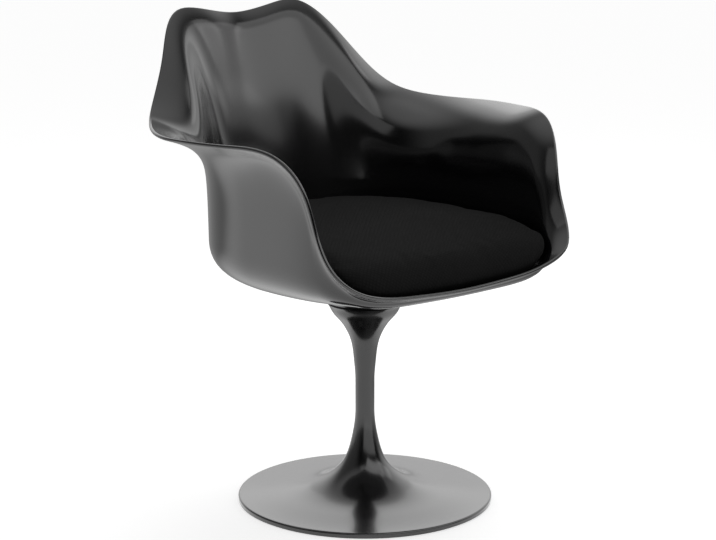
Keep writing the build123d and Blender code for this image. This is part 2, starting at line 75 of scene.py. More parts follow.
def linear(hex_colour: str) -> tuple[float, float, float, float]:
    """Turns an sRGB hex colour into linear values.

    Args:
        hex_colour: Six hex digits after a hash sign.

    Returns:
        Linear red, green and blue, and full alpha.
    """
    parts = [int(hex_colour[k:k + 2], 16) / 255 for k in (1, 3, 5)]
    values = [p / 12.92 if p <= 0.04045 else ((p + 0.055) / 1.055) ** 2.4 for p in parts]
    return (values[0], values[1], values[2], 1.0)


def add_node(tree: NodeTree, kind: str, settings: dict[str, Any] | None = None,
             sockets: dict[Any, Any] | None = None) -> Node:
    """Adds one shader node.

    Args:
        tree: The node tree.
        kind: The node's type name after ShaderNode.
        settings: Properties of the node by name.
        sockets: Inputs by name or number, each a value or the output socket to link.

    Returns:
        The new node.
    """
    node = tree.nodes.new("ShaderNode" + kind)
    for name, value in (settings or {}).items():
        setattr(node, name, value)
    for name, value in (sockets or {}).items():
        if isinstance(value, NodeSocket):
            tree.links.new(value, node.inputs[name])
        else:
            node.inputs[name].default_value = value
    return node


def blank_tree(owner: Material | World) -> NodeTree:
    """Turns on the nodes of a material or a world, and clears them.

    Args:
        owner: The material or world.

    Returns:
        Its empty node tree.
    """
    owner.use_nodes = True
    owner.node_tree.nodes.clear()
    return owner.node_tree


class Pattern(Enum):
    """How a finish's surface was made, which sets its fine pattern."""

    MOULDED = "moulded"
    COATED = "coated"
    TURNED = "turned"
    WOVEN = "woven"
    NAPPED = "napped"
    COILED = "coiled"
    PLAIN_CAST = "plain cast"


@dataclass(frozen=True)
class Finish:
    """One real material with its colours, gloss and the size of its fine pattern."""

    name: str
    pattern: Pattern
    dark: str
    light: str
    roughness: Pair
    pitch: float
    relief: float
    metallic: float = 0.0
    ior: float = 1.5
    coat: float = 0.0
    coat_roughness: float = 0.05
    sheen: float = 0.0
    specular: float = 0.5

    def build(self) -> Material:
        """Makes the procedural material.

        Returns:
            The material, with its pattern on Object coordinates or on the piece's own UV map.
        """
        material = bpy.data.materials.new(self.name)
        tree = blank_tree(material)
        place = add_node(tree, "TexCoord")
        height, tint = self.fine_pattern(tree, place)
        colour = add_node(tree, "Mix", {"data_type": "RGBA"},
                          {0: tint, 6: linear(self.dark), 7: linear(self.light)})
        gloss = add_node(tree, "MapRange", {}, {
            "Value": tint, "To Min": self.roughness[0], "To Max": self.roughness[1]})
        bump = add_node(tree, "Bump", {}, {
            "Height": height, "Distance": self.relief * MM, "Strength": 1.0})
        sockets = {
            "Base Color": colour.outputs[2], "Roughness": gloss.outputs[0],
            "Metallic": self.metallic, "Normal": bump.outputs[0],
            "Coat Weight": self.coat, "Coat Roughness": self.coat_roughness,
            "Sheen Weight": self.sheen, "Sheen Roughness": SHEEN_ROUGHNESS,
            "Specular IOR Level": self.specular}
        if self.metallic == 0:
            sockets["IOR"] = self.ior
        shader = add_node(tree, "BsdfPrincipled", {}, sockets)
        add_node(tree, "OutputMaterial", {}, {"Surface": shader.outputs[0]})
        return material

    def fine_pattern(self, tree: NodeTree, place: Node) -> tuple[NodeSocket, NodeSocket]:
        """Adds the pattern's nodes.

        Args:
            tree: The node tree.
            place: The Texture Coordinate node.

        Returns:
            The height for the bump and the share of the light colour.
        """
        per_metre = 1 / (self.pitch * MM)
        if self.pattern in (Pattern.WOVEN, Pattern.COILED):
            return self.threads(tree, place.outputs["UV"], per_metre)
        at = place.outputs["Object"]
        if self.pattern == Pattern.TURNED:
            rings = add_node(tree, "TexWave", {
                "wave_type": "RINGS", "rings_direction": "Z"}, {
                "Vector": at, "Scale": per_metre / WAVE_RADIANS, "Distortion": 0.4, "Detail": 1.0})
            return rings.outputs["Fac"], rings.outputs["Fac"]
        fine = add_node(tree, "TexNoise", {}, {
            "Vector": at, "Scale": per_metre, "Detail": 2.0, "Roughness": 0.5})
        if self.pattern == Pattern.NAPPED:
            return fine.outputs["Fac"], fine.outputs["Fac"]
        broad = add_node(tree, "TexNoise", {}, {
            "Vector": at, "Scale": CLOUDS_PER_METRE, "Detail": 2.0})
        return fine.outputs["Fac"], broad.outputs["Fac"]

    def threads(self, tree: NodeTree, at: NodeSocket,
                per_metre: float) -> tuple[NodeSocket, NodeSocket]:
        """Adds over-and-under threads, or the teeth of a coil, on a UV map in metres.

        Args:
            tree: The node tree.
            at: The UV socket.
            per_metre: Threads in a metre.

        Returns:
            The height for the bump and the share of the light colour.
        """
        waves = []
        for direction in ("X", "Y"):
            waves.append(add_node(tree, "TexWave", {"bands_direction": direction}, {
                "Vector": at, "Scale": per_metre / WAVE_RADIANS, "Distortion": 0.25, "Detail": 1.0,
                "Detail Scale": 0.6}).outputs["Fac"])
        crossing = add_node(tree, "Math", {"operation": "SUBTRACT"}, {0: waves[0], 1: waves[1]})
        lifted = add_node(tree, "Math", {"operation": "ABSOLUTE"}, {0: crossing.outputs[0]})
        slub = add_node(tree, "TexNoise", {}, {
            "Vector": at, "Scale": SLUBS_PER_METRE, "Detail": 4.0})
        tint = add_node(tree, "Math", {"operation": "MULTIPLY"}, {
            0: lifted.outputs[0], 1: slub.outputs["Fac"]})
        return lifted.outputs[0], tint.outputs[0]


# Black glass-fibre shell with a lacquered surface: deep black, with a mirror image that is softened
# a little and a faint waviness from the mould.
SHELL_GLOSS = Finish("lacquered_glass_fibre_shell", Pattern.MOULDED, "#040405", "#080809",
                     (0.15, 0.2), 14.0, 0.012, coat=1.0, coat_roughness=0.13)
# Cast aluminium with a black satin powder coat: soft image and a fine orange-peel skin.
PEDESTAL_COAT = Finish("black_powder_coated_aluminium", Pattern.COATED, "#0a0a0b", "#0f0f10",
                       (0.2, 0.26), 1.6, 0.010, coat=1.0, coat_roughness=0.15)
# The same coat on the hub, so that it reads as one with the pedestal across the swivel gap.
HUB_COAT = replace(PEDESTAL_COAT, name="black_powder_coated_hub")
# Black wool cloth in plain weave: matt and neutral, with threads that only just show.
CUSHION_FABRIC = Finish("black_plain_weave_wool", Pattern.WOVEN, "#111111", "#212121",
                        (0.85, 0.95), 1.4, 0.2, sheen=0.02, specular=0.1)
# Woven base cloth: matt like the cover, with flatter threads.
BASE_CLOTH = Finish("black_base_cloth", Pattern.WOVEN, "#141415", "#1f1f21", (0.8, 0.95), 1.6, 0.15)
# Zip tape with its coil: ribbed, with a low shine.
ZIP_TAPE = Finish("black_woven_zip_tape_with_coil", Pattern.COILED, "#0c0c0d", "#232325",
                  (0.5, 0.7), 1.8, 0.3)
# Moulded rubber: matt and slightly grey.
RUBBER = Finish("moulded_black_rubber", Pattern.PLAIN_CAST, "#101011", "#1a1a1b",
                (0.6, 0.75), 1.0, 0.02)
# Turned and zinc plated steel: pale metal with lathe rings.
TURNED_STEEL = Finish("turned_zinc_plated_steel", Pattern.TURNED, "#9a9a9c", "#c2c2c4",
                      (0.25, 0.4), 0.8, 0.01, metallic=1.0)
# Polished bearing steel: small bright mirrors.
BALL_STEEL = Finish("polished_bearing_steel", Pattern.PLAIN_CAST, "#c4c4c6", "#d2d2d4",
                    (0.06, 0.1), 2.0, 0.001, metallic=1.0)
# Steel blackened with oxide: dark metal with a dull shine.
BLACK_STEEL = Finish("black_oxide_steel", Pattern.PLAIN_CAST, "#1b1b1c", "#2a2a2b",
                     (0.35, 0.45), 0.8, 0.01, metallic=1.0)
# Stamped brass: warm yellow metal with a soft shine.
BRASS = Finish("stamped_brass", Pattern.PLAIN_CAST, "#a98237", "#c39d4c",
               (0.28, 0.4), 1.5, 0.01, metallic=1.0)
# Natural acetal: off-white plastic with a waxy shine.
ACETAL = Finish("natural_acetal", Pattern.PLAIN_CAST, "#dcd9d0", "#e8e5dc", (0.4, 0.5), 1.2, 0.01)
# Nylon hook tape: short stiff hairs that glint a little.
HOOK_TAPE = Finish("black_nylon_hook_tape", Pattern.NAPPED, "#0b0b0c", "#242426",
                   (0.45, 0.6), 1.1, 0.5)
# Nylon loop tape: a soft matt mat of loops.
LOOP_TAPE = Finish("black_nylon_loop_tape", Pattern.NAPPED, "#101011", "#2b2b2d",
                   (0.75, 0.9), 0.8, 0.4)
# Painted zinc slider: smooth black with a low gloss.
ZIP_METAL = Finish("black_painted_zinc", Pattern.PLAIN_CAST, "#141415", "#1f1f20",
                   (0.3, 0.4), 1.0, 0.01)


def start_clean() -> None:
    """Leaves edit mode and deselects everything."""
    if bpy.context.object is not None and bpy.context.object.mode != "OBJECT":
        bpy.ops.object.mode_set(mode="OBJECT")
    bpy.ops.object.select_all(action="DESELECT")


def set_points(piece: Object, points: Array) -> None:
    """Moves a piece's points to places in millimetres, in the mesh's own order."""
    piece.data.vertices.foreach_set("co", (points.reshape(-1, 3) * MM).astype(np.float32).ravel())
    piece.data.update()


def get_points(piece: Object) -> Array:
    """Reads a piece's points.

    Args:
        piece: The mesh object.

    Returns:
        Places in millimetres, one row each.
    """
    flat = np.zeros(len(piece.data.vertices) * 3, np.float32)
    piece.data.vertices.foreach_get("co", flat)
    return flat.reshape(-1, 3).astype(float) / MM


def pick(piece: Object) -> None:
    """Selects one piece alone and makes it the active one.

    Args:
        piece: The mesh object.
    """
    start_clean()
    piece.select_set(True)
    bpy.context.view_layer.objects.active = piece


@contextmanager
def editing(piece: Object) -> Iterator[None]:
    """Edit mode for one piece, with all of it selected.

    Args:
        piece: The mesh object.
    """
    pick(piece)
    bpy.ops.object.mode_set(mode="EDIT")
    bpy.ops.mesh.select_all(action="SELECT")
    yield
    bpy.ops.object.mode_set(mode="OBJECT")


def close_up(piece: Object) -> None:
    """Merges doubled points and turns the faces outwards.

    Args:
        piece: The mesh object.
    """
    with editing(piece):
        bpy.ops.mesh.remove_doubles(threshold=MERGE_DISTANCE)
        bpy.ops.mesh.normals_make_consistent(inside=False)


def apply_modifier(piece: Object, name: str) -> None:
    """Applies one of a piece's modifiers."""
    pick(piece)
    bpy.ops.object.modifier_apply(modifier=name)


def modify(piece: Object, kind: str, **settings: Any) -> None:
    """Gives a piece a modifier and applies it.

    Args:
        piece: The mesh object.
        kind: The modifier's type.
        settings: Its properties by name.
    """
    modifier = piece.modifiers.new(kind.lower(), kind)
    for name, value in settings.items():
        setattr(modifier, name, value)
    apply_modifier(piece, modifier.name)


def lay_weave(piece: Object, flat: Array) -> None:
    """Gives a piece a UV map in metres for its weave.

    Args:
        piece: The mesh object.
        flat: The flat place of each point in millimetres.
    """
    layer = piece.data.uv_layers.new(name="weave")
    corners = np.zeros(len(piece.data.loops), np.int32)
    piece.data.loops.foreach_get("vertex_index", corners)
    layer.data.foreach_set("uv", (flat[corners] * MM).astype(np.float32).ravel())


def settle(piece: Object, name: str, finish: Finish, slot: str, body: str, *nodes: str,
           crease: float = 35.0) -> None:
    """Shades, names and dresses a finished piece, puts it under its body and hides the nodes that
    it replaces.

    Args:
        piece: The mesh object.
        name: The piece's name.
        finish: Its material.
        slot: Not used.
        body: The body that it rides on.
        nodes: The nodes that it replaces.
        crease: The angle in degrees above which an edge stays sharp.
    """
    pick(piece)
    bpy.ops.object.shade_smooth_by_angle(angle=math.radians(crease))
    piece.name = name
    piece.data.name = name
    piece.data.materials.clear()
    piece.data.materials.append(finish.build())
    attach(piece, body)
    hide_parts(*nodes)
    LOG.info("%s: %d points", name, len(piece.data.vertices))


def spun_section(section: Array, steps: int) -> Object:
    """Spins a closed half section about the swivel axis.

    Args:
        section: Radius and height of each corner, in order.
        steps: Parts of a full turn.

    Returns:
        The closed piece.
    """
    start_clean()
    bpy.ops.mesh.primitive_circle_add(vertices=len(section), fill_type="NOTHING")
    piece = bpy.context.object
    set_points(piece, np.column_stack([section[:, 0], np.zeros(len(section)), section[:, 1]]))
    with editing(piece):
        bpy.ops.mesh.spin(steps=steps, angle=2 * math.pi, center=(0, 0, 0), axis=(0, 0, 1))
    close_up(piece)
    return piece


def unit(vectors: Array) -> Array:
    """The vectors along the last axis, each at a length of 1."""
    return vectors / np.linalg.norm(vectors, axis=-1, keepdims=True)


def along_cubics(points: Array, bends: Array, spans: Array, starts: Array,
                 distance: Array) -> Array:
    """Values of a chain of cubic pieces.

    Args:
        points: Values at the joins.
        bends: Second derivatives at the joins.
        spans: Length of each piece.
        starts: Distance at which each piece starts, and the end of the last.
        distance: Where to work the chain out.

    Returns:
        One row of values for each distance.
    """
    index = np.clip(np.searchsorted(starts, distance, side="right") - 1, 0, len(spans) - 1)
    following = (index + 1) % len(points)
    span = spans[index][:, None]
    b = (distance - starts[index])[:, None] / span
    a = 1 - b
    bend = ((a ** 3 - a) * bends[index] + (b ** 3 - b) * bends[following]) * span ** 2 / 6
    return a * points[index] + b * points[following] + bend


def curve_through(points: list[Pair], first: Pair, last: Pair, count: int) -> Array:
    """A smooth line through points, with its direction given at both ends.

    Args:
        points: Radius and height of each point.
        first: Direction at the first point.
        last: Direction at the last point.
        count: How many places to return.

    Returns:
        Places along the line, both ends among them.
    """
    knots = np.array(points, float)
    spans = np.linalg.norm(np.diff(knots, axis=0), axis=1)
    starts = np.concatenate([[0.0], np.cumsum(spans)])
    slopes = np.diff(knots, axis=0) / spans[:, None]
    size = len(knots)
    matrix = np.zeros((size, size))
    right = np.zeros((size, 2))
    matrix[0, :2] = 2 * spans[0], spans[0]
    right[0] = 6 * (slopes[0] - unit(np.array(first)))
    matrix[-1, -2:] = spans[-1], 2 * spans[-1]
    right[-1] = 6 * (unit(np.array(last)) - slopes[-1])
    for k in range(1, size - 1):
        matrix[k, k - 1:k + 2] = spans[k - 1], 2 * (spans[k - 1] + spans[k]), spans[k]
        right[k] = 6 * (slopes[k] - slopes[k - 1])
    bends = np.linalg.solve(matrix, right)
    return along_cubics(knots, bends, spans, starts, np.linspace(0.0, starts[-1], count))


@dataclass
class Pedestal:
    """Foot disc, waisted stem and cupped head, one coated casting."""

    foot_radius: float = 216.0
    foot_edge_top: float = 10.0
    foot_lift: float = 2.0
    foot_wall: float = 6.5
    foot_edge_round: float = 3.0
    foot_slope: float = 0.05
    foot_curve: tuple[Pair, ...] = (
        (150.0, 16.0), (100.0, 24.0), (60.0, 42.0), (37.0, 66.0), (23.0, 105.0))
    hollow_roof: float = 40.0
    hollow_points: int = 3
    stem_radius: float = 16.2
    waist_low: float = 157.0
    waist_high: float = 209.0
    head_top: float = 344.5
    head_radius: float = 64.0
    head_curve: tuple[Pair, ...] = (
        (18.6, 101.5), (24.0, 66.5), (31.0, 49.5), (42.0, 32.5), (56.0, 15.5))
    head_edge: float = 2.0
    cup_radius: float = 40.0
    cup_depth: float = 25.5
    post_radius: float = 9.0
    post_seat: float = 57.0
    ring_width: float = 8.0
    ring_margin: float = 4.0
    ring_depth: float = 4.0
    head_steps: int = 40
    waist_steps: int = 10
    foot_steps: int = 70
    edge_steps: int = 6
    roof_steps: int = 36
    turn_steps: int = 160

    def section(self) -> Array:
        """The closed half section, from the hollow's roof round to the floor ring's groove.

        Returns:
            Radius and height of each corner.
        """
        cup_floor = self.head_top - self.cup_depth
        bore_floor = cup_floor - self.post_seat
        groove_out = self.foot_radius - self.ring_margin
        groove_in = groove_out - self.ring_width
        groove_top = self.foot_lift + self.ring_depth
        wall_in = groove_in - self.ring_margin
        edge_in = self.foot_radius - self.foot_edge_round
        edge_low = self.foot_edge_top - self.foot_edge_round
        inside = [(0, self.hollow_roof), (0, bore_floor), (self.post_radius, bore_floor),
                  (self.post_radius, cup_floor), (self.cup_radius, cup_floor),
                  (self.cup_radius, self.head_top),
                  (self.head_radius - self.head_edge, self.head_top)]
        head_points = [(self.stem_radius, self.waist_high)]
        head_points += [(radius, self.head_top - depth) for radius, depth in self.head_curve]
        head_points.append((self.head_radius, self.head_top - self.head_edge))
        head = curve_through(head_points, (0, 1), (1, 1), self.head_steps)[::-1]
        heights = np.linspace(self.waist_high, self.waist_low, self.waist_steps)[1:-1]
        waist = [(self.stem_radius, height) for height in heights]
        foot_points = [(edge_in, self.foot_edge_top), *self.foot_curve,
                       (self.stem_radius, self.waist_low)]
        foot = curve_through(foot_points, (-1, self.foot_slope), (0, 1), self.foot_steps)[::-1]
        turns = [math.pi / 2 * k / self.edge_steps for k in range(self.edge_steps - 1, -1, -1)]
        edge = [(edge_in + self.foot_edge_round * math.cos(turn),
                 edge_low + self.foot_edge_round * math.sin(turn)) for turn in turns]
        under = [(self.foot_radius, self.foot_lift), (groove_out, self.foot_lift),
                 (groove_out, groove_top), (groove_in, groove_top), (groove_in, self.foot_lift),
                 (wall_in, self.foot_lift)]
        hollow = [(radius, height - self.foot_wall)
                  for radius, height in self.foot_curve[:self.hollow_points]]
        roof = curve_through([(wall_in, groove_top), *hollow, (0, self.hollow_roof)],
                             (-1, self.foot_slope), (-1, 0), self.roof_steps)[:-1]
        parts = (inside, head, waist, foot, edge, under, roof)
        return np.concatenate([np.array(part, float) for part in parts])

    def build(self) -> None:
        """Spins the casting and dresses it."""
        piece = spun_section(self.section(), self.turn_steps)
        settle(piece, "pedestal_casting", PEDESTAL_COAT, "pedestal_coat", "pedestal", "pedestal")


@dataclass
class SeatHub:
    """Flared ring over the swivel gap, with the plug that fills the cup."""

    foot: float = 346.5
    top: float = 354.5
    foot_radius: float = 66.0
    top_radius: float = 76.0
    plug_radius: float = 37.0
    plug_low: float = 330.4
    bore_radius: float = 12.05
    recess_radius: float = 19.0
    recess_floor: float = 349.5
    edge: float = 0.6
    flare_start: Pair = (0.4, 1.0)
    flare_end: Pair = (1.0, 0.5)
    flare_steps: int = 14
    turn_steps: int = 128

    def build(self) -> None:
        """Spins the hub and dresses it."""
        third = (self.top_radius - self.foot_radius) / 3
        points = [(self.foot_radius, self.foot + self.edge),
                  (self.foot_radius + third, (self.foot + self.top) / 2),
                  (self.top_radius, self.top - self.edge)]
        flare = curve_through(points, self.flare_start, self.flare_end, self.flare_steps)
        corners = [(self.top_radius - self.edge, self.top), (self.recess_radius, self.top),
                   (self.recess_radius, self.recess_floor), (self.bore_radius, self.recess_floor),
                   (self.bore_radius, self.plug_low), (self.plug_radius, self.plug_low),
                   (self.plug_radius, self.foot), (self.foot_radius - self.edge, self.foot)]
        piece = spun_section(np.concatenate([np.array(corners, float), flare]), self.turn_steps)
        settle(piece, "seat_hub_ring", HUB_COAT, "hub_coat", "seat", "seat_hub")


class ClosedCurve:
    """A smooth closed curve through stations, in cubic pieces over the chords' lengths."""

    def __init__(self, stations: Array) -> None:
        """Solves the pieces so that they meet without a kink.

        Args:
            stations: One row each, with x, y, height and lean.
        """
        self.points = stations
        following = np.roll(stations, -1, axis=0)
        self.spans = np.linalg.norm((following - stations)[:, :3], axis=1)
        self.starts = np.concatenate([[0.0], np.cumsum(self.spans)])
        before = np.roll(self.spans, 1)
        slopes = (following - stations) / self.spans[:, None]
        size = len(stations)
        matrix = np.zeros((size, size))
        for k in range(size):
            matrix[k, k - 1] += before[k]
            matrix[k, k] += 2 * (before[k] + self.spans[k])
            matrix[k, (k + 1) % size] += self.spans[k]
        self.bends = np.linalg.solve(matrix, 6 * (slopes - np.roll(slopes, 1, axis=0)))

    def at(self, distance: Array) -> Array:
        """The curve's values at distances from the first station, round the loop."""
        distance = np.mod(distance, self.starts[-1])
        return along_cubics(self.points, self.bends, self.spans, self.starts, distance)


@dataclass
class ShellForm:
    """The shell's middle surface: a rim through stations, an upright wall and a dished pan.

    Each station is x, y, height above the seat plane, and lean. Lean 1 is a wall that sweeps out
    from the heel to the rim like a petal, and lean 0 one that stands upright and flares at its top.
    """

    seat_plane: float = 356.0
    stations: tuple[tuple[float, float, float, float], ...] = (
        (0.0, 350.0, 440.0, 1.00), (69.0, 346.0, 450.0, 1.00), (121.0, 345.0, 455.0, 0.95),
        (198.0, 291.0, 381.0, 0.50), (266.0, 231.0, 300.0, 0.08), (303.0, 173.0, 286.0, 0.03),
        (330.0, 50.0, 287.0, 0.04), (316.0, -45.0, 290.0, 0.06), (289.0, -132.0, 280.0, 0.12),
        (273.0, -166.0, 247.0, 0.20), (260.0, -193.0, 170.0, 0.30), (248.0, -226.0, 106.0, 0.45),
        (235.0, -237.0, 90.0, 0.55), (188.0, -242.0, 67.0, 0.60), (95.0, -245.0, 55.0, 0.65),
        (0.0, -247.0, 52.0, 0.70))
    heel_half_width: float = 244.0
    heel_back: float = 249.0
    heel_front: float = 232.0
    squareness_back: float = 2.3
    squareness_front: float = 6.0
    heel_rise: float = 90.0
    heel_fade: float = 85.0
    heel_pull: float = 0.75
    pan_slope: float = 0.23
    pan_tilt: float = 0.13
    pan_reach: float = 0.55
    flare_power: float = 6.5
    petal_curve: float = 0.5
    lip_turn: float = 9.0
    lip_band: float = 28.0
    lip_band_wall_share: float = 0.8
    steep_limit: float = 0.1
    pan_start_radius: float = 74.0
    pan_start_height: float = 6.0

    def __post_init__(self) -> None:
        """Closes the rim with the mirrored stations."""
        right = np.array(self.stations)
        left = right[-2:0:-1] * np.array([-1.0, 1.0, 1.0, 1.0])
        self.rim = ClosedCurve(np.concatenate([right, left]))

    def meridians(self, count: int) -> "Meridians":
        """Lines from the boss to the rim, evenly spaced round it from the back's centre."""
        return Meridians(self, self.rim.starts[-1] * np.arange(count) / count)


class Meridians:
    """The shell's middle lines from the boss to the rim, in upright planes through the axis."""

    def __init__(self, form: ShellForm, distance: Array) -> None:
        """Works out each line's heel, height and lip.

        Args:
            form: The shell's form.
            distance: Distances along the rim.
        """
        self.form = form
        x, y, rim_height, self.lean = form.rim.at(distance).T
        step = (form.rim.at(distance + RIM_STEP) - form.rim.at(distance - RIM_STEP))[:, :3]
        steepness = np.abs(step[:, 2]) / np.linalg.norm(step, axis=1)
        self.turn = np.arctan2(x, y)
        self.heel_radius = self.squared_oval(form.heel_front, form.squareness_front)
        self.tall = 1 - np.exp(-(rim_height - form.pan_start_height) / form.heel_fade)
        self.heel_height = form.pan_start_height + form.heel_rise * self.tall
        self.wall_height = rim_height - self.heel_height
        band = form.lip_band / np.sqrt(np.maximum(1 - steepness ** 2, form.steep_limit))
        self.band = np.minimum(band, form.lip_band_wall_share * self.wall_height)
        self.reach = np.hypot(x, y) - form.lip_turn - self.heel_radius

    def squared_oval(self, front: float, front_squareness: float) -> Array:
        """Plan radius on each line, with the heel's back half and the given front.

        Args:
            front: How far the front reaches.
            front_squareness: The power of the front's curve.

        Returns:
            One radius each.
        """
        form = self.form
        across = np.abs(np.sin(self.turn)) / form.heel_half_width
        behind = np.cos(self.turn) > 0
        depth = np.abs(np.cos(self.turn)) / np.where(behind, form.heel_back, front)
        power = np.where(behind, form.squareness_back, front_squareness)
        return (across ** power + depth ** power) ** (-1 / power)

    def pan(self, share: Array | float) -> Array:
        """The pan, from the boss to the heel.

        Args:
            share: Place on each line, from 0 at the boss to 1 at the heel.

        Returns:
            Radius and height on each line.
        """
        form = self.form
        length = self.heel_radius - form.pan_start_radius
        rise = unit(np.stack([self.reach * self.lean, self.wall_height], axis=-1))
        start = np.array([form.pan_start_radius, form.pan_start_height])
        slope = form.pan_slope - form.pan_tilt * np.cos(self.turn)
        ahead = np.stack([np.ones_like(slope), slope], axis=-1)
        low = start + form.pan_reach * length[:, None] * ahead
        heel = np.stack([self.heel_radius, self.heel_height], axis=-1)
        pull = form.heel_pull * self.tall * (self.heel_height - form.pan_start_height)
        high = heel - rise * pull[:, None]
        share = np.broadcast_to(share, self.turn.shape)[:, None]
        rest = 1 - share
        return (rest ** 3 * start + 3 * share * rest ** 2 * low
                + 3 * share ** 2 * rest * high + share ** 3 * heel)

    def wall(self, share: Array | float) -> Array:
        """The wall, from the heel to the rim.

        Args:
            share: Place on each line, from 0 at the heel to 1 at the rim.

        Returns:
            Radius and height on each line.
        """
        form = self.form
        petal = (1 - form.petal_curve) * share + form.petal_curve * share ** 2
        spread = self.lean * petal + (1 - self.lean) * share ** form.flare_power
        lip = np.maximum(0.0, 1 - self.wall_height * (1 - share) / self.band) ** 2
        radius = self.heel_radius + self.reach * spread + form.lip_turn * lip
        return np.stack([radius, self.heel_height + self.wall_height * share], axis=-1)

    def level(self, radius: float, height: float) -> Array:
        """The same radius and height on every line."""
        return np.tile([radius, height], (len(self.turn), 1))

    def place(self, flat: Array) -> Array:
        """Points in space from each line's radius and height above the seat plane."""
        radius, height = flat[:, 0], flat[:, 1]
        return np.stack([radius * np.sin(self.turn), radius * np.cos(self.turn),
                         self.form.seat_plane + height], axis=-1)


@dataclass
class SeatShell:
    """Back, arms and pan in one moulded skin with a turned lip, and a flat boss over the hub."""

    form: ShellForm = field(default_factory=ShellForm)
    wall: float = 6.5
    boss_radii: tuple[float, ...] = (22.0, 50.0, 78.0)
    boss_thickness: float = 10.0
    lines: int = 256
    pan_first: float = 0.06
    pan_points: int = 18
    wall_points: int = 34
    rim_points: int = 5

    def skin(self) -> Array:
        """The closed section of every line: under the boss, up the outside and down the inside.

        Returns:
            Points by line and place in the section.
        """
        lines = self.form.meridians(self.lines)
        first = self.pan_first
        pan = [lines.pan(first + (1 - first) * k / self.pan_points) for k in range(self.pan_points)]
        wall = [lines.wall(math.sin(math.pi / 2 * k / self.wall_points))
                for k in range(self.wall_points + 1)]
        middle = np.stack([lines.place(flat) for flat in pan + wall], axis=1)
        along = np.roll(middle, -1, axis=0) - np.roll(middle, 1, axis=0)
        up = np.gradient(middle, axis=1)
        normal = unit(np.cross(along, up))
        half = self.wall / 2
        inner = middle + normal * half
        outer = middle - normal * half
        end = unit(up[:, -1])
        edge = []
        for k in range(1, self.rim_points + 1):
            roll = math.pi * k / (self.rim_points + 1)
            outward = end * math.sin(roll) - normal[:, -1] * math.cos(roll)
            edge.append(middle[:, -1] + half * outward)
        high = self.boss_thickness
        under = [lines.place(lines.level(radius, 0.0)) for radius in self.boss_radii]
        over = [lines.place(lines.level(radius, high)) for radius in self.boss_radii[::-1]]
        parts = [np.stack(under, 1), outer, np.stack(edge, 1), inner[:, ::-1], np.stack(over, 1)]
        return np.concatenate(parts, axis=1)

    def build(self) -> None:
        """Draws a torus out into the shell and dresses it."""
        points = self.skin()
        start_clean()
        bpy.ops.mesh.primitive_torus_add(major_segments=points.shape[0],
                                         minor_segments=points.shape[1])
        piece = bpy.context.object
        set_points(piece, points)
        close_up(piece)
        settle(piece, "seat_shell_moulding", SHELL_GLOSS, "shell_gloss", "seat", "seat_shell")


